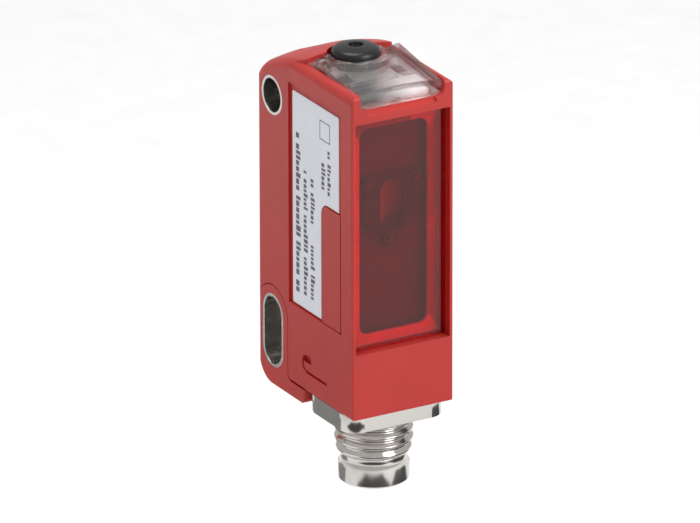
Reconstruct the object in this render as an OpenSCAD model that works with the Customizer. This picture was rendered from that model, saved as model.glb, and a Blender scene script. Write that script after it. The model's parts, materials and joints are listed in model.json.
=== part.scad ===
// Compact photoelectric sensor: moulded housing with two mounting sleeves, a
// tinted optics window, a clear indicator cover with a teach button, and a
// threaded M8 connector. Millimetres. The origin is the centre of the upper
// mounting hole, midway across the width. +X runs across the width, the
// optics look along -Y, and +Z is up.

/* [Housing] */
// Width across the two flat sides
body_w = 11.4; // [11:0.1:12]
// Height of the housing's underside below the upper mounting hole
base_drop = 28.95; // [28.5:0.05:29.4]
// Distance of the optics face in front of the mounting holes
front_reach = 15.75; // [15.4:0.05:15.9]
// Distance of the back face behind the mounting holes
back_reach = 2.7; // [2.6:0.01:2.75]
// Height of the side walls' top above the upper mounting hole
wall_top = 4.85; // [4.6:0.05:4.95]

/* [Mounting sleeves] */
// Radius of the screw passage in both sleeves
sleeve_bore_r = 1.7; // [1.6:0.05:1.75]
// Outside radius of both sleeves
sleeve_r = 2.05; // [2.0:0.01:2.1]
// Depth of the slot's middle below the upper mounting hole
slot_drop = 24.8; // [24.7:0.05:24.9]
// Distance between the slot's two end centres
slot_span = 3.64; // [3.4:0.02:3.8]

/* [Optics window] */
// Width of the window opening
window_w = 10.6; // [10.2:0.1:10.7]
// Height of the window opening's top edge
window_top = 1.9; // [1.7:0.05:2.0]
// Height of the window opening's bottom edge
window_bottom = -22.1; // [-22.4:0.1:-21.8]
// Depth of the pane's face behind the housing's front
window_recess = 0.9; // [0.7:0.1:1.1]

/* [Teach button] */
// Diameter of the button's domed head
button_d = 4.84; // [4.6:0.02:4.9]
// Travel of the button when it is pressed
button_travel = 0.3; // [0.2:0.05:0.3]

/* [Connector] */
// Outside diameter of the M8 thread
thread_d = 7.8; // [7.7:0.05:7.95]
// Pitch of the M8 thread
thread_pitch = 1; // [1:1:1]
// Length of the connector below the upper mounting hole
plug_drop = 37.9; // [37.7:0.1:38.2]

/* [Hidden] */
$fn = 96;
eps = 0.02;

half_w = body_w / 2;
front_y = -front_reach;
back_y = back_reach;
base_z = -base_drop;
slot_z = -slot_drop;
slot_top_z = slot_z + slot_span / 2;
slot_low_z = slot_z - slot_span / 2;

// Outer form of the housing
back_arc_r = 4;
crown_r = 23.28;
crown_y = -8.8;
crown_z = -17.2;
crown_front_y = -5.4;
crown_half_w = 4.75;
crown_heel_y = -3.3;
crown_side_r = 1.3;
crown_skirt_z = -4;
back_block_z = 0;
back_arc_z = 0.45;
edge_r = 0.9;
front_edge_r = 0.25;
base_edge_r = 0.35;
nose_low_r = 0.15;
back_step_r = 0.5;

// Inner space of the housing
cavity_half_w = 4.6;
cavity_front_y = -13.6;
cavity_back_y = -3.95;
cavity_top_z = 1.1;
cavity_bottom_z = -27.95;
passage_r = 3.6;
chamber_step = 0.2;
button_room_r = 2.85;
tall = 12;
chamber_half_w = 4.72;
chamber_front_y = -15.05;
ledge_z = 2.62;
ledge_back_z = 3.08;
seat_r = 0.93;

// Lower ear
ear_r = 2.95;
ear_gap = 0.1;
ear_bottom_z = -30.45;
ear_toe_y = -6.2;
ear_seam_y = -2.95;
ear_seam_z = -29.0;
ear_heel_r = 2.6;
ear_corner_r = 0.75;
ear_toe_r = 0.4;
ear_front_r = 0.3;
ear_back_r = 0.25;

// Side recess for the label
recess_depth = 0.25;
recess_y = [-13.55, -3.26];
recess_z = [-20.58, 2.5];
label_y = [-12.9, -3.85];
label_z = [-20.35, 1.83];
label_step = [-9.4, -8.05];
label_step_r = 1.3;
pad_lift = 0.06;
pad_y = [-13.3, -9.8];
pad_z = [-20.5, -8.2];
label_t = 0.1;
label_corner_r = 0.2;
pad_corner_r = 0.9;

// Tongue-shaped mark below the label
mark_y = [-10.7, -5.8];
mark_z = [-27.0, -25.05];
mark_groove_w = 0.26;
mark_groove_depth = 0.3;
mark_pocket = [1.7, 0.85];
mark_pocket_depth = 0.45;
mark_face_depth = 0.06;

// Window
pane_t = 0.9;
pane_gap = 0.03;
pane_corner_r = 0.3;
gasket_inset = 0.15;
gasket_t = 0.2;
aperture_half_w = 3.85;
aperture_top_z = 0.6;
aperture_bottom_z = -20.9;
aperture_r = 1;
pane_y = front_y + window_recess;
gasket_y = pane_y + pane_t;
ledge_y = gasket_y + gasket_t;

// Indicator cover
cover_half_w = 4.69;
cover_front_y = -15.02;
cover_back_y = -6.9;
cover_tail_y = -5.45;
cover_tail_z = 4.9;
cover_slope = 8.5;
cover_arc_r = 31;
cover_front_top_z = 4.93;
cover_wall = 0.8;
cover_roof = 0.9;
cover_corner_r = 0.9;
cover_ring_drop = 0.12;
cover_ring_r = 3.0;
funnel_r = 5.2;
funnel_h = 0.62;
collar_floor_z = 3.6;
button_collar_r = 3.3;

// Teach button
button_y = -6.6;
rim_z = 5.54;
dome_h = 0.92;
shoulder_r = 0.7;
hollow_r = 0.72;
hollow_depth = 0.42;
head_r = button_d / 2;
head_bottom_z = 4.85;
stem_r = 1.4;
stem_bottom_z = 3.62;
well_r = head_r + 0.08;
well_floor_z = 3.95;
seal_top_z = head_bottom_z - button_travel - 0.15;
seal_bore_r = stem_r + 0.06;

// Indicator board
board_t = 0.6;
top_board_z = 1.75;
top_board_top_z = top_board_z + board_t;
switch_h = 0.75;
switch_size = [3.5, 2.1];
switch_well_r = 0.9;
dome_r = 1.3;
spring_rise = 0.5;
spring_t = 0.1;
lamp_x = [1.3, 2.9];
lamp_y = [-13.4, -12.6];
lamp_h = 0.7;
guide_half_w = 3.7;
guide_y = [-14.05, -11.6];
guide_top_z = 3.75;
guide_bridge_z = 3.4;

// Main board
main_board_x = 3.35;
main_board_t = 0.8;
main_board_y = [-12.15, -4.3];
main_board_z = [-27.2, 1.0];

// Optics
lens_z = -7.95;
lens_r = 3.0;
ring_r = 3.35;
carrier_front_y = -13.35;
carrier_back_y = -4.6;
carrier_half_w = 3.0;
carrier_top_z = -3.9;
carrier_bottom_z = -18.9;
receiver_z = -15.2;
baffle_half_w = 4.3;
baffle_z = [-21.6, 1.0];
retainer_t = 0.25;
lug_r = 0.85;
lug_reach = 3.6;
lug_angles = [135, 40, 268];
stake_r = 0.32;
eye_half_w = 1.25;
eye_half_h = 2.7;

// Connector
plug_y = -10;
flange_half_w = 5.6;
flange_r = 1.8;
flange_front_y = -14.85;
flange_back_y = -6.3;
flange_bottom_z = -30.77;
thread_r = thread_d / 2;
thread_root_r = thread_r - 0.45;
thread_end_z = -34.95;
neck_r = 3.3;
neck_end_z = -35.7;
collar_r = 3.55;
collar_top_z = -36.15;
collar_edge = 0.2;
plug_end_z = -plug_drop;
socket_r = 2.75;
socket_top_z = -33.6;
pin_r = 0.5;
pin_circle_r = 1.35;
pin_recess = 0.8;
pin_top_z = -26.05;
flex_half_w = 2.2;
flex_y = [-13.0, -11.0];
flex_z = [-26.7, -25.8];
flex_t = 0.15;
spigot_r = 3.1;
spigot_h = 1;
carrier_top_end_z = -27.6;
wire_room_r = 2.3;

// ---- Outline helpers ----

// Rectangle from one corner to the other with true round corners. The radii
// run low-left, low-right, high-right, high-left.
module round_rect(low, high, r) {
  span = high - low;
  centres = [
    [low.x + r[0], low.y + r[0]],
    [high.x - r[1], low.y + r[1]],
    [high.x - r[2], high.y - r[2]],
    [low.x + r[3], high.y - r[3]]
  ];
  corners = [low, [high.x, low.y], high, [low.x, high.y]];
  difference() {
    translate(low) square(span);
    for (i = [0:3])
      if (r[i] > 0) corner_nick(centres[i], corners[i], r[i]);
  }
}

// What a round corner leaves over between its circle and the square corner
module corner_nick(centre, corner, r) {
  dir = [sign(corner.x - centre.x), sign(corner.y - centre.y)];
  difference() {
    translate([min(centre.x, corner.x + dir.x), min(centre.y, corner.y + dir.y)])
      square([r + 1, r + 1]);
    translate(centre) circle(r);
  }
}

// Outline drawn in Y and Z, standing between two X planes
module across(x0, x1) {
  translate([x0, 0, 0]) rotate([90, 0, 90]) linear_extrude(x1 - x0) children();
}

// Outline drawn in X and Z, running between two Y planes
module along(y0, y1) {
  translate([0, y1, 0]) rotate([90, 0, 0]) linear_extrude(y1 - y0) children();
}

// Block between two corners
module block(low, high) {
  translate(low) cube(high - low);
}

// Plain cylinder along X through the full width
module cross_bar(y, z, r, w) {
  translate([-w / 2, y, z]) rotate([0, 90, 0]) cylinder(h = w, r = r);
}

// Slot outline, upright, around its two end centres
module slot_outline(r) {
  translate([0, slot_top_z]) circle(r);
  translate([0, slot_low_z]) circle(r);
  translate([-r, slot_low_z]) square([2 * r, slot_span]);
}

// ---- Housing ----

// Plan of the housing, with soft vertical edges
module plan_outline() {
  e = front_edge_r;
  round_rect([-half_w, front_y], [half_w, back_y], [e, e, e, e]);
}

// Side view of the lower body: full height in front, low at the back where
// the crown sits on it
module side_outline() {
  difference() {
    union() {
      round_rect([front_y, base_z], [crown_heel_y, wall_top],
                 [nose_low_r, 0, 0, back_step_r]);
      translate([crown_heel_y - eps, base_z])
        square([back_y - crown_heel_y + eps, back_block_z - base_z]);
    }
    lower_ear_outline(ear_gap);
  }
}

// Side view of the lower ear, grown all round by a gap
module lower_ear_outline(gap) {
  r = ear_r + gap;
  translate([0, slot_top_z]) circle(r);
  difference() {
    translate([ear_seam_y - gap, ear_bottom_z - gap])
      square([back_y - ear_seam_y + 2 * gap, slot_top_z - ear_bottom_z + gap]);
    if (gap == 0)
      corner_nick([back_y - ear_heel_r, ear_bottom_z + ear_heel_r],
                  [back_y, ear_bottom_z], ear_heel_r);
  }
  difference() {
    translate([ear_toe_y - gap, ear_bottom_z - gap])
      square([ear_seam_y - ear_toe_y + 2 * gap, ear_seam_z - ear_bottom_z + 2 * gap]);
    if (gap == 0)
      corner_nick([ear_toe_y + ear_toe_r, ear_bottom_z + ear_toe_r],
                  [ear_toe_y, ear_bottom_z], ear_toe_r);
  }
  difference() {
    translate([ear_seam_y - gap - ear_corner_r, ear_seam_z])
      square([ear_corner_r + gap, ear_corner_r + gap]);
    translate([ear_seam_y - gap - ear_corner_r, ear_seam_z + gap + ear_corner_r])
      circle(ear_corner_r);
  }
}

// Front view of the lower body, with its upper edges rounded
module front_outline() {
  round_rect([-half_w, base_z], [half_w, wall_top],
             [base_edge_r, base_edge_r, edge_r, edge_r]);
}

// Section of the crown: a shallow arc across the width, with round sides.
// The first axis is the distance from the crown's centre line.
module crown_section() {
  reach = half_w - crown_side_r;
  side_x = sqrt(pow(crown_r - crown_side_r, 2) - reach * reach);
  arc_half_w = reach * crown_r / (crown_r - crown_side_r);
  core_r = 10;
  intersection() {
    circle(crown_r);
    translate([core_r, -arc_half_w]) square([crown_r, 2 * arc_half_w]);
  }
  translate([side_x, reach]) circle(crown_side_r);
  translate([side_x, -reach]) circle(crown_side_r);
  translate([core_r, -half_w]) square([side_x - core_r, body_w]);
}

// Raised rear crown: a shallow dome that falls away to the back
module crown() {
  intersection() {
    translate([0, crown_y, crown_z])
      rotate([0, 90, 0])
        rotate_extrude($fn = 240) crown_section();
    back_corner();
    crown_plan();
  }
}

// Round back upper corner, tall enough for the crown
module back_corner() {
  arc_y = back_y - back_arc_r;
  across(-half_w, half_w)
    union() {
      translate([crown_front_y - 1, crown_skirt_z])
        square([arc_y - crown_front_y + 1, tall]);
      translate([arc_y, back_arc_z]) circle(back_arc_r);
      translate([arc_y, crown_skirt_z]) square([back_arc_r, back_arc_z - crown_skirt_z]);
    }
}

// Plan of the crown, with its two front corners cut back
module crown_plan() {
  translate([0, 0, crown_skirt_z])
    linear_extrude(tall)
      intersection() {
        plan_outline();
        polygon([
          [-crown_half_w, crown_front_y],
          [crown_half_w, crown_front_y],
          [half_w, crown_heel_y],
          [half_w, back_y],
          [-half_w, back_y],
          [-half_w, crown_heel_y]
        ]);
      }
}

// Outer form of the housing before it is hollowed
module housing_form() {
  intersection() {
    across(-half_w, half_w) side_outline();
    along(front_y, back_y) front_outline();
    translate([0, 0, base_z]) linear_extrude(wall_top - base_z) plan_outline();
  }
  crown();
}

// Space for the optics, the boards and the wiring
module inner_space() {
  block([-cavity_half_w, cavity_front_y, cavity_bottom_z],
        [cavity_half_w, cavity_back_y, cavity_top_z]);
  // passage down to the connector
  translate([0, plug_y, base_z - 1]) cylinder(h = 3, r = passage_r);
  // indicator chamber under the clear cover
  block([-cavity_half_w + chamber_step, cavity_front_y, cavity_top_z - eps],
        [cavity_half_w - chamber_step, cover_tail_y - 0.05, rim_z]);
}

// Seat of the clear cover, open at the front above the ledge
module cover_seat() {
  difference() {
    block([-chamber_half_w, front_y - 1, ledge_z],
          [chamber_half_w, crown_front_y - 0.02, 7]);
    // sloped ledge in front of the cover
    across(-half_w, half_w)
      polygon([
        [front_y - 0.05, ledge_z - 1],
        [front_y - 0.05, ledge_z],
        [chamber_front_y, ledge_back_z],
        [cavity_front_y + 0.1, ledge_back_z],
        [cavity_front_y + 0.1, ledge_z - 1]
      ]);
    // round lower corners of the seat
    for (s = [-1, 1])
      along(front_y - 1, cavity_front_y)
        corner_nick([s * (chamber_half_w - seat_r), ledge_back_z + seat_r],
                    [s * chamber_half_w, ledge_back_z], seat_r);
  }
}

// Window rebate and the smaller opening behind it
module window_opening() {
  block([-window_w / 2, front_y - 1, window_bottom],
        [window_w / 2, ledge_y, window_top]);
  along(front_y, cavity_front_y + eps)
    round_rect([-aperture_half_w, aperture_bottom_z], [aperture_half_w, aperture_top_z],
               [aperture_r, aperture_r, aperture_r, aperture_r]);
}

// Label recess on the left side, with its raised pad
module label_recess() {
  difference() {
    block([-half_w - 1, recess_y[0], recess_z[0]],
          [-half_w + recess_depth, recess_y[1], recess_z[1]]);
    across(-half_w - 2, -half_w + recess_depth + eps)
      intersection() {
        round_rect([pad_y[0], pad_z[0]], [pad_y[1], pad_z[1]],
                   [label_corner_r, label_corner_r, pad_corner_r, label_corner_r]);
        translate([pad_y[0] - 1, pad_z[0] - 1]) square([9, 20]);
      }
  }
  // the pad itself stands a little below the side face
  block([-half_w - 1, pad_y[0] - 0.1, pad_z[0]], [-half_w + pad_lift, pad_y[1], pad_z[1]]);
}

// Outline of the mark: straight edges and a round back end
module mark_outline(inset) {
  r = (mark_z[1] - mark_z[0]) / 2;
  end_y = mark_y[1] - r;
  translate([end_y, mark_z[0] + r]) circle(r - inset);
  translate([mark_y[0], mark_z[0] + inset])
    square([end_y - mark_y[0], 2 * (r - inset)]);
}

// Mark below the label: a groove round its back end and lower edge, a deeper
// pocket at the upper back, and a tongue set slightly below the side face
module side_mark() {
  low_x = -half_w - 1;
  across(low_x, -half_w + mark_groove_depth)
    difference() {
      mark_outline(0);
      mark_outline(mark_groove_w);
      translate([mark_y[0] - 1, mark_z[0] + mark_groove_w])
        square([mark_y[1] - mark_pocket.x - mark_y[0] + 1, mark_z[1] - mark_z[0]]);
      translate([mark_y[0] - 1, mark_z[0] - 1])
        square([1, 4]);
    }
  across(low_x, -half_w + mark_pocket_depth)
    intersection() {
      mark_outline(0.02);
      translate([mark_y[1] - mark_pocket.x, mark_z[1] - mark_pocket.y])
        square([mark_pocket.x + 1, mark_pocket.y + 1]);
    }
  across(low_x, -half_w + mark_face_depth) mark_outline(0.01);
}

module housing() {
  color("#c8483f")
    difference() {
      housing_form();
      inner_space();
      cover_seat();
      window_opening();
      label_recess();
      side_mark();
      cross_bar(0, 0, sleeve_r, body_w + 2);
      translate([0, button_y, 3]) cylinder(h = 5, r = button_room_r);
    }
}

module end_cap() {
  color("#c8483f")
    difference() {
      intersection() {
        across(-half_w, half_w) lower_ear_outline(0);
        block([-half_w, front_y, ear_bottom_z - 1], [half_w, back_y, slot_top_z + 5]);
        translate([0, 0, ear_bottom_z - 1])
          linear_extrude(20)
            round_rect([-half_w, ear_toe_y], [half_w, back_y],
                       [ear_front_r, ear_front_r, ear_back_r, ear_back_r]);
      }
      across(-half_w - 1, half_w + 1) slot_outline(sleeve_r);
    }
}

module upper_sleeve() {
  color("#d8d4cc")
    difference() {
      cross_bar(0, 0, sleeve_r, body_w);
      cross_bar(0, 0, sleeve_bore_r, body_w + 2);
    }
}

module lower_sleeve() {
  color("#d8d4cc")
    difference() {
      across(-half_w, half_w) slot_outline(sleeve_r);
      across(-half_w - 1, half_w + 1) slot_outline(sleeve_bore_r);
    }
}

module type_label() {
  label_x = -half_w + recess_depth;
  color("#ccccd6")
    across(label_x - label_t, label_x)
      difference() {
        round_rect([label_y[0], label_z[0]], [label_y[1], label_z[1]],
                   [0, label_corner_r, label_corner_r, label_corner_r]);
        round_rect([label_y[0] - 1, label_z[0] - 1], label_step, [0, 0, label_step_r, 0]);
      }
}

// ---- Window ----

module front_window() {
  r = pane_corner_r;
  color("#8c1c24", 0.6)
    along(pane_y, pane_y + pane_t)
      round_rect([-window_w / 2 + pane_gap, window_bottom + pane_gap],
                 [window_w / 2 - pane_gap, window_top - pane_gap], [r, r, r, r]);
}

module window_gasket() {
  edge = gasket_inset;
  r = pane_corner_r;
  color("#a02830")
    along(gasket_y, ledge_y)
      difference() {
        round_rect([-window_w / 2 + edge, window_bottom + edge],
                   [window_w / 2 - edge, window_top - edge], [r, r, r, r]);
        round_rect([-aperture_half_w, aperture_bottom_z],
                   [aperture_half_w, aperture_top_z],
                   [aperture_r, aperture_r, aperture_r, aperture_r]);
      }
}

// ---- Indicator cover ----

// Cover form under its sloped, slightly arched roof, shrunk by a wall
module cover_form(shrink, roof, floor_z) {
  intersection() {
    along(cover_front_y + shrink, cover_back_y - shrink)
      round_rect([-cover_half_w + shrink, floor_z], [cover_half_w - shrink, 9],
                 [cover_corner_r, cover_corner_r, 0, 0]);
    translate([0, cover_front_y, cover_front_top_z - roof])
      rotate([cover_slope, 0, 0])
        translate([0, -2, -cover_arc_r])
          rotate([-90, 0, 0])
            cylinder(h = 14, r = cover_arc_r, $fn = 240);
  }
}

module indicator_cover() {
  ring_z = rim_z - cover_ring_drop;
  color("#d8c4c4", 0.5)
    difference() {
      union() {
        cover_form(0, 0, ledge_back_z + 0.01);
        block([-cover_half_w, cover_back_y - eps, cover_tail_z - 1.2],
              [cover_half_w, cover_tail_y, cover_tail_z]);
        // collar that holds the button and its seal
        translate([0, button_y, collar_floor_z])
          intersection() {
            cylinder(h = ring_z - collar_floor_z, r = button_collar_r);
            block([-4, cover_front_y, -1], [4, cover_tail_y - button_y, 5]);
          }
      }
      difference() {
        cover_form(cover_wall, cover_roof, 2);
        translate([0, button_y, collar_floor_z]) cylinder(h = 3, r = button_collar_r);
      }
      // room for the switch below the back wall
      block([-2.2, cover_back_y - 1.5, 2], [2.2, cover_back_y + 1, 3.58]);
      // funnel down to the button
      translate([0, button_y, ring_z])
        cylinder(h = funnel_h, r1 = cover_ring_r, r2 = funnel_r);
      translate([0, button_y, ring_z + funnel_h - 0.001]) cylinder(h = 2, r = funnel_r);
      translate([0, button_y, seal_top_z - 0.02]) cylinder(h = 4, r = well_r);
      translate([0, button_y, well_floor_z]) cylinder(h = 4, r = 2.3);
      translate([0, button_y, 3]) cylinder(h = 4, r = stem_r + 0.1);
    }
}

module light_guide() {
  color("#e8e0dc", 0.6)
    difference() {
      block([-guide_half_w, guide_y[0], top_board_top_z + lamp_h + 0.05],
            [guide_half_w, guide_y[1], guide_top_z]);
      block([-0.5, guide_y[0] - 1, top_board_top_z], [0.5, guide_y[1] + 1, guide_bridge_z]);
    }
}

module ready_led() {
  color("#e4ead0")
    block([-lamp_x[1], lamp_y[0], top_board_top_z],
          [-lamp_x[0], lamp_y[1], top_board_top_z + lamp_h]);
}

module output_led() {
  color("#f0e4b0")
    block([lamp_x[0], lamp_y[0], top_board_top_z],
          [lamp_x[1], lamp_y[1], top_board_top_z + lamp_h]);
}

// ---- Teach button ----

// Half section of the button's head: a flat top arc and round shoulders
module dome_section() {
  reach = head_r - shoulder_r;
  top_r = (dome_h * dome_h + reach * reach - shoulder_r * shoulder_r)
          / (2 * (dome_h - shoulder_r));
  top_y = dome_h - top_r;
  tilt = reach / -top_y;
  intersection() {
    translate([0, top_y]) circle(top_r);
    polygon([
      [0, head_bottom_z - rim_z],
      [reach, head_bottom_z - rim_z],
      [reach, 0],
      [reach + tilt * 1.2, 1.2],
      [0, 1.2]
    ]);
  }
  intersection() {
    translate([reach, 0]) circle(shoulder_r);
    translate([0, 0]) square([head_r, dome_h]);
  }
  translate([0, head_bottom_z - rim_z]) square([head_r, rim_z - head_bottom_z]);
}

module teach_button() {
  color("#3a3c3a")
    translate([0, button_y, 0])
      difference() {
        union() {
          translate([0, 0, rim_z]) rotate_extrude() dome_section();
          translate([0, 0, stem_bottom_z]) cylinder(h = rim_z - stem_bottom_z, r = stem_r);
        }
        translate([0, 0, rim_z + dome_h - hollow_depth]) cylinder(h = 1, r = hollow_r);
      }
}

module button_seal() {
  color("#202020")
    translate([0, button_y, well_floor_z])
      difference() {
        cylinder(h = seal_top_z - well_floor_z, r = 2.28);
        translate([0, 0, -1]) cylinder(h = 3, r = seal_bore_r);
      }
}

module switch_dome() {
  ball_r = (dome_r * dome_r + spring_rise * spring_rise) / (2 * spring_rise);
  base = top_board_top_z + switch_h;
  color("silver")
    translate([0, button_y, base])
      difference() {
        intersection() {
          translate([0, 0, spring_rise - ball_r]) sphere(ball_r);
          cylinder(h = 2, r = dome_r);
        }
        translate([0, 0, spring_rise - ball_r]) sphere(ball_r - spring_t);
      }
}

module tact_switch() {
  color("#282828")
    translate([0, button_y, top_board_top_z])
      difference() {
        translate([-switch_size.x / 2, -switch_size.y / 2, 0])
          cube([switch_size.x, switch_size.y, switch_h]);
        translate([0, 0, switch_h - 0.2]) cylinder(h = 1, r = switch_well_r);
      }
}

module indicator_board() {
  color("#2f6b45")
    block([-4.3, cavity_front_y + 0.1, top_board_z], [4.3, -5.55, top_board_top_z]);
}

// ---- Boards ----

module main_board() {
  color("#2f6b45")
    block([main_board_x, main_board_y[0], main_board_z[0]],
          [main_board_x + main_board_t, main_board_y[1], main_board_z[1]]);
}

module processor_chip() {
  color("#202022")
    block([main_board_x - 0.9, -11.2, -25.4], [main_board_x, -7.2, -21.4]);
}

module driver_chip() {
  color("#202022")
    block([main_board_x - 0.9, -6.9, -25.0], [main_board_x, -4.9, -22.0]);
}

module board_capacitors() {
  color("#b49a78")
    for (i = [0:3])
      block([main_board_x - 0.7, -11.9 + i * 1.8, -20.9],
            [main_board_x, -10.9 + i * 1.8, -19.3]);
}

module board_header() {
  color("#303030")
    block([main_board_x - 1.2, -12.0, -3.4], [main_board_x, -5.2, -2.2]);
}

module flex_strip() {
  size = [flex_y[1] - flex_y[0], flex_z[1] - flex_z[0]];
  color("#c88830")
    across(-flex_half_w, flex_half_w)
      difference() {
        translate([flex_y[0], flex_z[0]]) square(size);
        translate([flex_y[0] + flex_t, flex_z[0] - flex_t]) square(size);
      }
}

// ---- Optics ----

module optics_carrier() {
  color("#2c2a2c")
    difference() {
      union() {
        block([-carrier_half_w, carrier_front_y + 0.6, carrier_bottom_z],
              [carrier_half_w, carrier_back_y, carrier_top_z]);
        // baffle plate behind the window
        block([-baffle_half_w, carrier_front_y + 0.6, baffle_z[0]],
              [baffle_half_w, carrier_front_y + 1.1, baffle_z[1]]);
        // ring around the lens
        translate([0, carrier_front_y + 0.6, lens_z])
          rotate([90, 0, 0]) cylinder(h = 0.6, r = ring_r);
        // stakes that hold the lens retainer
        translate([0, carrier_front_y + 0.62, lens_z])
          rotate([90, 0, 0])
            linear_extrude(0.62 + retainer_t + 0.15) at_lugs() circle(stake_r);
      }
      // tube behind the lens
      translate([0, carrier_front_y - 1, lens_z])
        rotate([-90, 0, 0]) cylinder(h = 2.35, r = lens_r - 0.45);
      translate([0, carrier_front_y + 0.6, lens_z])
        rotate([-90, 0, 0]) cylinder(h = 3.2, r = lens_r - 0.2);
      block([-2.4, carrier_front_y + 3, lens_z - 2.4],
            [2.4, carrier_back_y - 1, lens_z + 2.4]);
      // seat of the light source at the back
      translate([0, carrier_back_y - 2, lens_z])
        rotate([-90, 0, 0]) cylinder(h = 3, r = 1.13);
      // shaft down to the receiver
      block([-1.9, -9.6, receiver_z - 2.2], [1.9, -5.8, lens_z]);
    }
}

module objective_lens() {
  ball_r = 9;
  color("#e8e0e0", 0.6)
    translate([0, carrier_front_y + 0.75, lens_z])
      rotate([-90, 0, 0])
        intersection() {
          cylinder(h = 1.5, r = lens_r - 0.25);
          translate([0, 0, ball_r]) sphere(ball_r);
        }
}

// Places something at each of the retainer's three lugs, seen from the front
module at_lugs() {
  for (a = lug_angles)
    translate([lug_reach * cos(a), lug_reach * sin(a)]) children();
}

module lens_retainer() {
  eye = eye_half_h - eye_half_w;
  color("#3a3436")
    translate([0, carrier_front_y, lens_z])
      rotate([90, 0, 0])
        linear_extrude(retainer_t)
          difference() {
            union() {
              circle(ring_r - 0.05);
              at_lugs() circle(lug_r);
            }
            at_lugs() circle(stake_r + 0.04);
            translate([0, eye]) circle(eye_half_w);
            translate([0, -eye]) circle(eye_half_w);
            translate([-eye_half_w, -eye]) square([2 * eye_half_w, 2 * eye]);
          }
}

module polarising_filter() {
  color("#5a5a66", 0.7)
    translate([0, -10.95, lens_z])
      rotate([-90, 0, 0]) cylinder(h = 0.3, r = 2.7);
}

module beam_splitter() {
  color("#d0e0e8", 0.6)
    translate([0, -7.7, lens_z])
      rotate([45, 0, 0])
        block([-1.8, -0.2, -2.1], [1.8, 0.2, 2.1]);
}

module laser_diode() {
  color("#c8a850")
    translate([0, carrier_back_y, lens_z])
      rotate([90, 0, 0]) {
        cylinder(h = 1.6, r = 1.1);
        translate([0, 0, -0.3]) cylinder(h = 0.3, r = 1.4);
      }
}

module receiver_diode() {
  color("#303848")
    block([-1.4, -9.1, receiver_z - 2.2], [1.4, -6.3, receiver_z - 1.3]);
}

module receiver_shield() {
  color("#c0c0c4")
    difference() {
      block([-1.85, -9.55, receiver_z - 2.2], [1.85, -5.85, receiver_z + 0.3]);
      block([-1.6, -9.3, receiver_z - 3], [1.6, -6.1, receiver_z + 1]);
    }
}

// ---- Connector ----

// One turn of the thread as a ring with sloped flanks
module thread_ridge(z, crest_r) {
  translate([0, 0, z])
    rotate_extrude()
      polygon([
        [thread_root_r - 0.3, -0.42],
        [thread_root_r, -0.42],
        [crest_r, -0.1],
        [crest_r, 0.1],
        [thread_root_r, 0.42],
        [thread_root_r - 0.3, 0.42]
      ]);
}

module connector_shell() {
  turns = floor((flange_bottom_z - thread_end_z) / thread_pitch);
  color("#c4c0ba")
    difference() {
      union() {
        translate([0, 0, flange_bottom_z])
          linear_extrude(base_z - flange_bottom_z)
            round_rect([-flange_half_w, flange_front_y], [flange_half_w, flange_back_y],
                       [flange_r, flange_r, flange_r, flange_r]);
        translate([0, plug_y, 0]) {
          translate([0, 0, thread_end_z])
            cylinder(h = flange_bottom_z - thread_end_z + eps, r = thread_root_r);
          for (i = [0:turns - 1])
            thread_ridge(flange_bottom_z - 0.7 - i * thread_pitch,
                         i == turns - 1 ? thread_r - 0.15 : thread_r);
          translate([0, 0, plug_end_z])
            rotate_extrude()
              polygon([
                [0, 0],
                [collar_r - collar_edge, 0],
                [collar_r, collar_edge],
                [collar_r, collar_top_z - plug_end_z],
                [neck_r, neck_end_z - plug_end_z],
                [neck_r, thread_end_z - plug_end_z + eps],
                [0, thread_end_z - plug_end_z + eps]
              ]);
          // spigot into the housing
          translate([0, 0, base_z - eps]) cylinder(h = spigot_h + eps, r = spigot_r);
        }
      }
      translate([0, plug_y, plug_end_z - 1])
        cylinder(h = socket_top_z - plug_end_z + 1, r = socket_r);
      translate([0, plug_y, socket_top_z - 1]) cylinder(h = 8, r = wire_room_r);
    }
}

module connector_seal() {
  color("#1c1c1c")
    translate([0, plug_y, base_z + 0.45])
      rotate_extrude()
        translate([3.35, 0]) circle(0.22, $fn = 32);
}

module contact_carrier() {
  color("#262626")
    translate([0, plug_y, 0])
      difference() {
        union() {
          translate([0, 0, socket_top_z])
            cylinder(h = carrier_top_end_z - socket_top_z, r = wire_room_r - 0.01);
          translate([0, 0, socket_top_z - 0.3]) cylinder(h = 0.3, r = socket_r - 0.01);
        }
        for (i = [0:3])
          rotate(45 + i * 90)
            translate([pin_circle_r, 0, socket_top_z - 1])
              cylinder(h = 10, r = pin_r);
      }
}

module contact_pins() {
  color("#c8a850")
    translate([0, plug_y, 0])
      for (i = [0:3])
        rotate(45 + i * 90)
          translate([pin_circle_r, 0, plug_end_z + pin_recess])
            cylinder(h = pin_top_z - plug_end_z - pin_recess, r = pin_r, $fn = 32);
}

housing();
end_cap();
upper_sleeve();
lower_sleeve();
type_label();
front_window();
window_gasket();
indicator_cover();
teach_button();
button_seal();
switch_dome();
tact_switch();
indicator_board();
light_guide();
ready_led();
output_led();
main_board();
processor_chip();
driver_chip();
board_capacitors();
board_header();
optics_carrier();
objective_lens();
lens_retainer();
polarising_filter();
beam_splitter();
laser_diode();
receiver_diode();
receiver_shield();
connector_shell();
connector_seal();
contact_carrier();
contact_pins();
flex_strip();
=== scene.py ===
"""Looks for the compact photoelectric sensor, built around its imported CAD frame."""

import json
import math
import random

import bmesh
import bpy
from mathutils import Matrix, Vector


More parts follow.
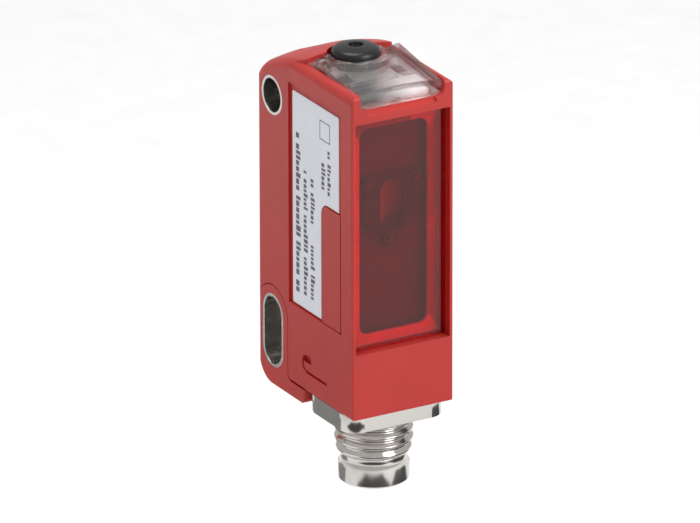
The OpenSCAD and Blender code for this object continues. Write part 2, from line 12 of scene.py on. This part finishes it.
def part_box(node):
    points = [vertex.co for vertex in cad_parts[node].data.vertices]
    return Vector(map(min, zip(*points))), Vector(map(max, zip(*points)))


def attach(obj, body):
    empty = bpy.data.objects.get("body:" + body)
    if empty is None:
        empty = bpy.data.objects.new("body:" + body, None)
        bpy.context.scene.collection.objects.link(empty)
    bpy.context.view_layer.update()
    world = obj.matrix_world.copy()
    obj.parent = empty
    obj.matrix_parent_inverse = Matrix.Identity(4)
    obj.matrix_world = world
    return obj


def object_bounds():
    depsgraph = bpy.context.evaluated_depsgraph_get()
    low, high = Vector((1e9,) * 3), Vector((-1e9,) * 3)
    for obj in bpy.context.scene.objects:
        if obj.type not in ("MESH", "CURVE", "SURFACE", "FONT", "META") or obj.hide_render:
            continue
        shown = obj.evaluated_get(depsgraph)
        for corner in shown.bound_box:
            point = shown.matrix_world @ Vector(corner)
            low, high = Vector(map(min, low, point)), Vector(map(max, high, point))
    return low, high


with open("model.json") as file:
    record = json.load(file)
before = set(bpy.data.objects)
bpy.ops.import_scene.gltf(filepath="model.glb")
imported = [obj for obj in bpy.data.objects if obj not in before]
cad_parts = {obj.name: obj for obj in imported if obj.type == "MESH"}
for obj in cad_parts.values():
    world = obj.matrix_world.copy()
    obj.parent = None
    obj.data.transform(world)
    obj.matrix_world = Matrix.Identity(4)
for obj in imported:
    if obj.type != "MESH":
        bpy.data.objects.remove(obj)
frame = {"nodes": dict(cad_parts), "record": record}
cad_low, cad_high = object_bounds()
nodes = frame["nodes"]
MM = 0.001
SLOT_OF = {part["node"]: part["material_slot"] for part in frame["record"]["subparts"]}


# ---- Materials ----

class Shader:
    """A node tree with short calls for the nodes used here."""

    def __init__(self, name):
        self.material = bpy.data.materials.new(name)
        self.material.use_nodes = True
        self.tree = self.material.node_tree
        self.surface = self.tree.nodes["Principled BSDF"]
        self.output = self.tree.nodes["Material Output"]
        self.place = self.node("ShaderNodeTexCoord").outputs["Object"]

    def node(self, kind, **settings):
        made = self.tree.nodes.new(kind)
        for key, value in settings.items():
            setattr(made, key, value)
        return made

    def link(self, source, target):
        self.tree.links.new(source, target)

    def set(self, **values):
        """Constants on the Principled shader; underscores stand for spaces."""
        for key, value in values.items():
            self.surface.inputs[key.replace("_", " ")].default_value = value

    def stretched(self, per_mm):
        """Object coordinates in millimetres times a factor for each axis."""
        mapping = self.node("ShaderNodeMapping")
        mapping.inputs["Scale"].default_value = tuple(1000 * s for s in per_mm)
        self.link(self.place, mapping.inputs["Vector"])
        return mapping.outputs["Vector"]

    def noise(self, per_mm, detail=3.0, rough=0.55, spread=None):
        """Noise with about per_mm grains in each millimetre."""
        made = self.node("ShaderNodeTexNoise")
        made.inputs["Scale"].default_value = 1.0
        made.inputs["Detail"].default_value = detail
        made.inputs["Roughness"].default_value = rough
        spread = spread or (1, 1, 1)
        self.link(self.stretched(tuple(per_mm * s for s in spread)), made.inputs["Vector"])
        return made.outputs["Fac"]

    def ramp(self, source, low, high, from_low=0.3, from_high=0.7):
        """Source moved to the range low to high."""
        made = self.node("ShaderNodeMapRange")
        made.inputs["From Min"].default_value = from_low
        made.inputs["From Max"].default_value = from_high
        made.inputs["To Min"].default_value = low
        made.inputs["To Max"].default_value = high
        self.link(source, made.inputs["Value"])
        return made.outputs["Result"]

    def blend(self, factor, dark, light):
        """Colour between two others."""
        made = self.node("ShaderNodeMix", data_type="RGBA")
        made.inputs["A"].default_value = (*dark, 1)
        made.inputs["B"].default_value = (*light, 1)
        self.link(factor, made.inputs["Factor"])
        return made.outputs["Result"]

    def bump(self, source, strength, depth_mm):
        made = self.node("ShaderNodeBump")
        made.inputs["Strength"].default_value = strength
        made.inputs["Distance"].default_value = depth_mm * MM
        self.link(source, made.inputs["Height"])
        return made.outputs["Normal"]

    def use(self, **links):
        """Links into the Principled shader; underscores stand for spaces."""
        for key, source in links.items():
            self.link(source, self.surface.inputs[key.replace("_", " ")])


def tone(color, factor):
    return tuple(min(1.0, c * factor) for c in color)


def moulded(name, color, roughness, grain=9.0, depth=0.012, strength=0.35, variety=0.10,
            specular=0.5):
    """Moulded plastic with a fine texture and slow changes in tone."""
    s = Shader(name)
    s.set(Specular_IOR_Level=specular)
    slow = s.noise(0.22, detail=4)
    fine = s.noise(grain, detail=2)
    color_out = s.blend(s.ramp(slow, 0, 1), tone(color, 1 - variety), tone(color, 1 + variety))
    s.use(Base_Color=color_out,
          Roughness=s.ramp(s.noise(0.7, detail=5), roughness - 0.03, roughness + 0.04),
          Normal=s.bump(fine, strength, depth))
    return s.material


def plated(name, color, roughness, streak=(0.5, 0.5, 14.0), depth=0.004, haze=0.08):
    """Plated or turned metal with fine tool marks and a slight haze."""
    s = Shader(name)
    s.set(Metallic=1.0)
    marks = s.noise(1.0, detail=4, spread=streak)
    cloud = s.noise(0.8, detail=5)
    s.use(Base_Color=s.blend(s.ramp(cloud, 0, 1), tone(color, 0.93), tone(color, 1.05)),
          Roughness=s.ramp(cloud, roughness, roughness + haze),
          Normal=s.bump(marks, 0.25, depth))
    return s.material


def clear(name, color, roughness=0.02, ior=1.49, ripple=0.25, straight=0.0):
    """Clear moulding: refracts, with faint flow marks and dust haze. Part of the
    light goes straight through, as it does through thin walls."""
    s = Shader(name)
    s.set(Transmission_Weight=1.0, IOR=ior)
    flow = s.noise(ripple, detail=3)
    s.use(Base_Color=s.blend(s.ramp(flow, 0, 1), tone(color, 0.97), tone(color, 1.0)),
          Roughness=s.ramp(s.noise(1.5, detail=4), roughness, roughness + 0.03),
          Normal=s.bump(flow, 0.08, 0.02))
    if straight:
        through = s.node("ShaderNodeBsdfTransparent")
        through.inputs["Color"].default_value = (*color, 1)
        both = s.node("ShaderNodeMixShader")
        both.inputs["Fac"].default_value = straight
        s.link(s.surface.outputs[0], both.inputs[1])
        s.link(through.outputs[0], both.inputs[2])
        s.link(both.outputs[0], s.output.inputs["Surface"])
    return s.material


def filter_pane(name, tint, roughness=0.03, specular=0.5):
    """Tinted pane: a coloured filter under a smooth reflecting skin."""
    s = Shader(name)
    s.set(Base_Color=(0, 0, 0, 1), Specular_IOR_Level=specular)
    cloud = s.noise(0.3, detail=4)
    s.use(Roughness=s.ramp(cloud, roughness, roughness + 0.05),
          Normal=s.bump(s.noise(0.5), 0.05, 0.01))
    through = s.node("ShaderNodeBsdfTransparent")
    s.link(s.blend(s.ramp(cloud, 0, 1), tone(tint, 0.94), tint), through.inputs["Color"])
    both = s.node("ShaderNodeAddShader")
    s.link(through.outputs[0], both.inputs[0])
    s.link(s.surface.outputs[0], both.inputs[1])
    s.link(both.outputs[0], s.output.inputs["Surface"])
    return s.material


def glossy(name, color, roughness=0.18):
    """Smooth resin or lacquer."""
    s = Shader(name)
    cloud = s.noise(1.2, detail=4)
    s.use(Base_Color=s.blend(s.ramp(cloud, 0, 1), tone(color, 0.9), tone(color, 1.08)),
          Roughness=s.ramp(cloud, roughness, roughness + 0.1),
          Normal=s.bump(s.noise(6.0), 0.1, 0.005))
    return s.material


def painted_light_ramp(name, dark, light, reach_mm, roughness=0.15):
    """Diffusing resin with painted shade at the -X end and painted light at the +X end, ramped
    across the width.
    """
    s = Shader(name)
    ends = s.node("ShaderNodeSeparateXYZ")
    s.link(s.stretched((1, 1, 1)), ends.inputs["Vector"])
    cloud = s.noise(0.8, detail=4)
    # painted shade at -reach_mm running to painted light at +reach_mm along X
    s.use(Base_Color=s.blend(s.ramp(ends.outputs["X"], 0, 1, -reach_mm, reach_mm), dark, light),
          Roughness=s.ramp(cloud, roughness, roughness + 0.1),
          Normal=s.bump(cloud, 0.15, 0.01))
    return s.material


LOOKS = {
    "red_plastic": moulded("red_plastic", (0.41, 0.021, 0.016), 0.39, variety=0.05,
                           specular=0.45),
    "nickel": plated("nickel", (0.60, 0.575, 0.545), 0.12, streak=(0.4, 0.4, 5.0), depth=0.002,
                     haze=0.06),
    # light guide: painted shade at its -X end, painted light at its +X end
    "guide_painted_light": painted_light_ramp("guide_painted_light", (0.02, 0.02, 0.022), (0.95, 0.93, 0.93), 2.2),
    "sleeve_nickel": plated("sleeve_nickel", (0.66, 0.635, 0.605), 0.22, depth=0.0),
    "label_foil": moulded("label_foil", (0.68, 0.69, 0.745), 0.38, grain=5, depth=0.004,
                          variety=0.03),
    "tinted_pane": filter_pane("tinted_pane", (0.90, 0.055, 0.085), specular=0.42),
    "bonding": moulded("bonding", (0.75, 0.04, 0.05), 0.5, grain=5),
    "clear_plastic": clear("clear_plastic", (1.0, 0.98, 0.98), straight=0.35),
    "black_button": moulded("black_button", (0.010, 0.011, 0.010), 0.31, grain=7,
                            depth=0.010, variety=0.2, specular=0.32),
    "black_rubber": moulded("black_rubber", (0.02, 0.02, 0.02), 0.62, grain=6),
    "spring_steel": plated("spring_steel", (0.68, 0.68, 0.68), 0.12, streak=(8, 0.6, 0.6)),
    "black_plastic": moulded("black_plastic", (0.026, 0.026, 0.028), 0.45),
    "circuit_board": glossy("circuit_board", (0.03, 0.16, 0.07), 0.3),
    "white_board": glossy("white_board", (0.82, 0.82, 0.80), 0.3),
    "led_resin": glossy("led_resin", (0.85, 0.85, 0.72), 0.2),
    "chip_resin": moulded("chip_resin", (0.024, 0.024, 0.026), 0.55, grain=12),
    "ceramic": moulded("ceramic", (0.5, 0.36, 0.22), 0.45, grain=10),
    "optics_plastic": moulded("optics_plastic", (0.065, 0.06, 0.06), 0.5, grain=0.8, strength=0.1),
    "retainer_black": moulded("retainer_black", (0.012, 0.012, 0.014), 0.45, grain=0.8,
                              strength=0.1),
    "lens_glass": clear("lens_glass", (0.95, 0.95, 0.97), 0.01, 1.55, 0.1, straight=0.7),
    "filter_glass": glossy("filter_glass", (0.88, 0.86, 0.88), 0.2),
    "gold_plate": plated("gold_plate", (0.80, 0.58, 0.24), 0.16, streak=(0.8, 0.8, 12)),
    "receiver_resin": glossy("receiver_resin", (0.05, 0.06, 0.09), 0.12),
    "tinned_steel": plated("tinned_steel", (0.6, 0.6, 0.62), 0.24, streak=(6, 0.6, 0.6)),
    "flex_film": glossy("flex_film", (0.5, 0.26, 0.06), 0.25),
}


# ---- Geometry from the CAD nodes ----

BEVEL = {
    "housing": 0.10, "end_cap": 0.10, "upper_sleeve": 0.06, "lower_sleeve": 0.06,
    "indicator_cover": 0.08, "connector_shell": 0.08, "teach_button": 0.08,
    "type_label": 0.01, "front_window": 0.05, "lens_retainer": 0.05,
    "optics_carrier": 0.08, "light_guide": 0.06, "main_board": 0.04,
    "indicator_board": 0.05, "processor_chip": 0.06, "driver_chip": 0.06,
    "board_capacitors": 0.06, "board_header": 0.06, "tact_switch": 0.06,
    "ready_led": 0.06, "output_led": 0.06, "receiver_diode": 0.06,
    "receiver_shield": 0.04, "contact_carrier": 0.05, "laser_diode": 0.05,
}
CREASE = math.radians(32)
WELD_MM = 0.002
FLAT_ANGLE = math.radians(0.5)
BEVEL_SEGMENTS = 2
# nodes whose finish differs a little from their slot's; the light guide's look carries painted
# shade and painted light across its width
LOOK_OF = {"upper_sleeve": "sleeve_nickel", "lower_sleeve": "sleeve_nickel",
           "light_guide": "guide_painted_light"}


def soften(obj, width):
    """Clean faces, small round edges and even shading, without moving the mesh."""
    weld = obj.modifiers.new("weld", "WELD")
    weld.merge_threshold = WELD_MM * MM
    flat = obj.modifiers.new("flat faces", "DECIMATE")
    flat.decimate_type = "DISSOLVE"
    flat.angle_limit = FLAT_ANGLE
    bevel = obj.modifiers.new("edges", "BEVEL")
    bevel.width = width * MM
    bevel.segments = BEVEL_SEGMENTS
    bevel.limit_method = "ANGLE"
    bevel.angle_limit = CREASE
    bevel.use_clamp_overlap = True
    bevel.harden_normals = False
    even = obj.modifiers.new("shading", "WEIGHTED_NORMAL")
    even.keep_sharp = True


for node_name, cad in nodes.items():
    cad.data.materials.clear()
    cad.data.materials.append(LOOKS[LOOK_OF.get(node_name, SLOT_OF[node_name])])
    if node_name in BEVEL:
        soften(cad, BEVEL[node_name])


# ---- Print on the label ----

def blocks(name, boxes, look):
    """Object made of closed blocks, each a low and a high corner in millimetres."""
    bm = bmesh.new()
    for low, high in boxes:
        made = bmesh.ops.create_cube(bm, size=1.0)
        middle, span = (Vector(low) + Vector(high)) / 2, Vector(high) - Vector(low)
        for v in made["verts"]:
            v.co = (Vector(a * b for a, b in zip(v.co, span)) + middle) * MM
    mesh = bpy.data.meshes.new(name)
    bm.to_mesh(mesh)
    bm.free()
    obj = bpy.data.objects.new(name, mesh)
    bpy.context.scene.collection.objects.link(obj)
    obj.data.materials.append(look)
    return obj


def slab(name, boxes, look):
    """Piece of small blocks that rides on the sensor body."""
    obj = blocks(name, boxes, look)
    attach(obj, "sensor_body")
    return obj


label_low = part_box("type_label")[0]
PRINT_PROUD, PRINT_SUNK = 0.012, 0.02
PRINT_X = (label_low.x / MM - PRINT_PROUD, label_low.x / MM + PRINT_SUNK)
BLOCK_GAP, WORD_GAP = 0.16, 0.45
BLOCK_WIDTHS, BLOCK_HEIGHTS = [0.3, 0.4, 0.46], [0.62, 0.62, 0.9]
BOLD_WIDER, PLAIN_WIDER = 1.2, 0.85
# middle across the label, lower end, upper end, stroke height, bold or not
PRINT_LINES = [
    (-5.0, -19.0, -17.9, 1.05, True),
    (-5.0, -17.2, -2.3, 0.95, True),
    (-6.45, -18.9, -5.8, 0.85, False),
    (-7.82, -18.9, -12.7, 0.85, False),
    (-7.82, -10.9, -5.9, 0.85, False),
    (-9.96, -6.6, -3.7, 0.85, False),
    (-11.07, -6.9, -2.1, 0.7, False),
]


def print_line(y, low_z, high_z, height, bold, chance):
    """A run of small plain blocks with gaps between groups, in place of lettering."""
    boxes, z, run = [], low_z, 0
    while z < high_z - BLOCK_WIDTHS[0]:
        width = chance.choice(BLOCK_WIDTHS) * (BOLD_WIDER if bold else PLAIN_WIDER)
        tall = height * chance.choice(BLOCK_HEIGHTS)
        foot = y + height / 2
        boxes.append(((PRINT_X[0], foot - tall, z), (PRINT_X[1], foot, z + width)))
        z += width + BLOCK_GAP
        run += 1
        if run > chance.randrange(5, 9):
            z, run = z + WORD_GAP, 0
    return boxes


PRINT_SEED = 7
chance = random.Random(PRINT_SEED)
ink_boxes = []
for line in PRINT_LINES:
    ink_boxes += print_line(*line, chance)
# small plain frame near the top of the label
FRAME_Y, FRAME_Z, FRAME_T = (-11.2, -9.2), (-1.5, 0.5), 0.09
ink_boxes += [
    ((PRINT_X[0], FRAME_Y[0], FRAME_Z[0]), (PRINT_X[1], FRAME_Y[1], FRAME_Z[0] + FRAME_T)),
    ((PRINT_X[0], FRAME_Y[0], FRAME_Z[1] - FRAME_T), (PRINT_X[1], FRAME_Y[1], FRAME_Z[1])),
    ((PRINT_X[0], FRAME_Y[0], FRAME_Z[0]), (PRINT_X[1], FRAME_Y[0] + FRAME_T, FRAME_Z[1])),
    ((PRINT_X[0], FRAME_Y[1] - FRAME_T, FRAME_Z[0]), (PRINT_X[1], FRAME_Y[1], FRAME_Z[1])),
]
ink = moulded("ink", (0.10, 0.10, 0.11), 0.5, grain=6, depth=0.002)
slab("label_print", ink_boxes, ink)


# ---- Small parts on the indicator board ----

BOARD_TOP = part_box("indicator_board")[1].z / MM
CHIP_SIZE, CHIP_CAP, CAP_PROUD = (1.0, 2.0, 0.42), 0.32, 0.03
# low corner of each chip resistor across the width and along the board
CHIP_PLACES = [(2.2, -11.0), (-3.3, -10.6)]


def chip_boxes(place, caps):
    """The body of one chip resistor, or the two end caps that stand a little proud."""
    x, y = place
    wide, long, tall = CHIP_SIZE
    if not caps:
        return [((x, y + CHIP_CAP, BOARD_TOP), (x + wide, y + long - CHIP_CAP, BOARD_TOP + tall))]
    proud = BOARD_TOP + tall + CAP_PROUD
    return [((x, y, BOARD_TOP), (x + wide, y + CHIP_CAP, proud)),
            ((x, y + long - CHIP_CAP, BOARD_TOP), (x + wide, y + long, proud))]


for part_name, caps, part_slot in [("resistor_bodies", False, "chip_resin"),
                                   ("resistor_caps", True, "tinned_steel")]:
    part_boxes = [box for place in CHIP_PLACES for box in chip_boxes(place, caps)]
    slab(part_name, part_boxes, LOOKS[part_slot])


# ---- Stage ----

FLOOR_DROP = 30
FLOOR_REACH = 2500
FLOOR_THICKNESS = 5
floor_mm = (cad_low.z - FLOOR_DROP * MM) / MM
CARD_ROUGHNESS = 0.8
CARD_LIFT = 0.1


def card(name, low, high, color):
    """Flat block of the stage, corners in millimetres."""
    look = moulded(name, color, CARD_ROUGHNESS, grain=0.5, variety=0.02)
    obj = blocks(name, [(low, high)], look)
    return obj


card("floor", (-FLOOR_REACH, -FLOOR_REACH, floor_mm - FLOOR_THICKNESS),
     (FLOOR_REACH, FLOOR_REACH, floor_mm), (0.80, 0.80, 0.80))
plug_mm = Vector((0, -10, 0))
VIEW_AZIMUTH = math.radians(29.798)
toward_camera = Vector((-math.sin(VIEW_AZIMUTH), -math.cos(VIEW_AZIMUTH), 0))
to_the_right = Vector((math.cos(VIEW_AZIMUTH), -math.sin(VIEW_AZIMUTH), 0))


def floor_card(name, ahead, aside, color):
    """Card on the floor, spanning two distances ahead of and beside the plug."""
    middle = plug_mm + toward_camera * sum(ahead) / 2 + to_the_right * sum(aside) / 2
    half_w, half_d = (aside[1] - aside[0]) / 2, (ahead[1] - ahead[0]) / 2
    made = card(name, (-half_w, -half_d, 0), (half_w, half_d, 1), color)
    # only glossy rays see it, so it neither shows nor darkens the floor
    made.visible_camera = False
    made.visible_diffuse = False
    made.visible_transmission = False
    made.visible_shadow = False
    made.matrix_world = (
        Matrix.Translation((middle + Vector((0, 0, floor_mm + CARD_LIFT))) * MM)
        @ Matrix.Rotation(-VIEW_AZIMUTH, 4, "Z"))
    return made


# cards seen only in reflections, which give the plated parts their dark and grey areas
floor_card("dark_card_front", (44, 130), (-62, 62), (0.02, 0.02, 0.02))
floor_card("dark_card_right", (-48, 40), (42, 130), (0.03, 0.03, 0.03))
floor_card("grey_card_left", (-75, -16), (-130, -44), (0.22, 0.22, 0.22))


def soft_light(name, place, aim, size, power):
    """Rectangular lamp aimed at a point, lengths in millimetres."""
    data = bpy.data.lights.new(name, "AREA")
    data.shape = "RECTANGLE"
    data.size, data.size_y = size[0] * MM, size[1] * MM
    data.energy = power
    light = bpy.data.objects.new(name, data)
    light.location = Vector(place) * MM
    look = (Vector(aim) - Vector(place)).to_track_quat("-Z", "Y")
    light.rotation_mode = "QUATERNION"
    light.rotation_quaternion = look
    bpy.context.scene.collection.objects.link(light)
    return light


MIDDLE = (0, -7, -16)
soft_light("key", (200, -420, 300), MIDDLE, (260, 260), 1.95)
soft_light("top", (-60, 60, 480), MIDDLE, (320, 320), 1.7)

world = bpy.data.worlds.new("studio")
world.use_nodes = True
sky = world.node_tree.nodes["Background"]
sky.inputs["Color"].default_value = (1, 1, 1, 1)
sky.inputs["Strength"].default_value = 0.60
bpy.context.scene.world = world
bpy.context.scene.view_settings.view_transform = "Standard"


# ---- Camera ----

VIEW_ELEVATION = math.radians(21.779)
VIEW_ROLL = math.radians(-0.104)
VIEW_DISTANCE = 1175.156
VIEW_AIM = (-0.871, -6.908, -16.086)
LENS, SENSOR_WIDTH = 617.14, 36


def make_camera():
    """Long lens at the photograph's angle."""
    azimuth, elevation, roll = VIEW_AZIMUTH, VIEW_ELEVATION, VIEW_ROLL
    distance = VIEW_DISTANCE * MM
    aim = Vector(VIEW_AIM) * MM
    back = Vector((-math.sin(azimuth) * math.cos(elevation),
                   -math.cos(azimuth) * math.cos(elevation),
                   math.sin(elevation)))
    level = (-back).cross(Vector((0, 0, 1))).normalized()
    upright = level.cross(-back)
    right = level * math.cos(roll) + upright * math.sin(roll)
    up = upright * math.cos(roll) - level * math.sin(roll)
    data = bpy.data.cameras.new("camera")
    data.sensor_width = SENSOR_WIDTH
    data.lens = LENS
    data.clip_start, data.clip_end = 0.01, 10
    camera = bpy.data.objects.new("camera", data)
    rows = Matrix((right, up, back)).transposed().to_4x4()
    camera.matrix_world = Matrix.Translation(aim + back * distance) @ rows
    bpy.context.scene.collection.objects.link(camera)
    bpy.context.scene.camera = camera


make_camera()
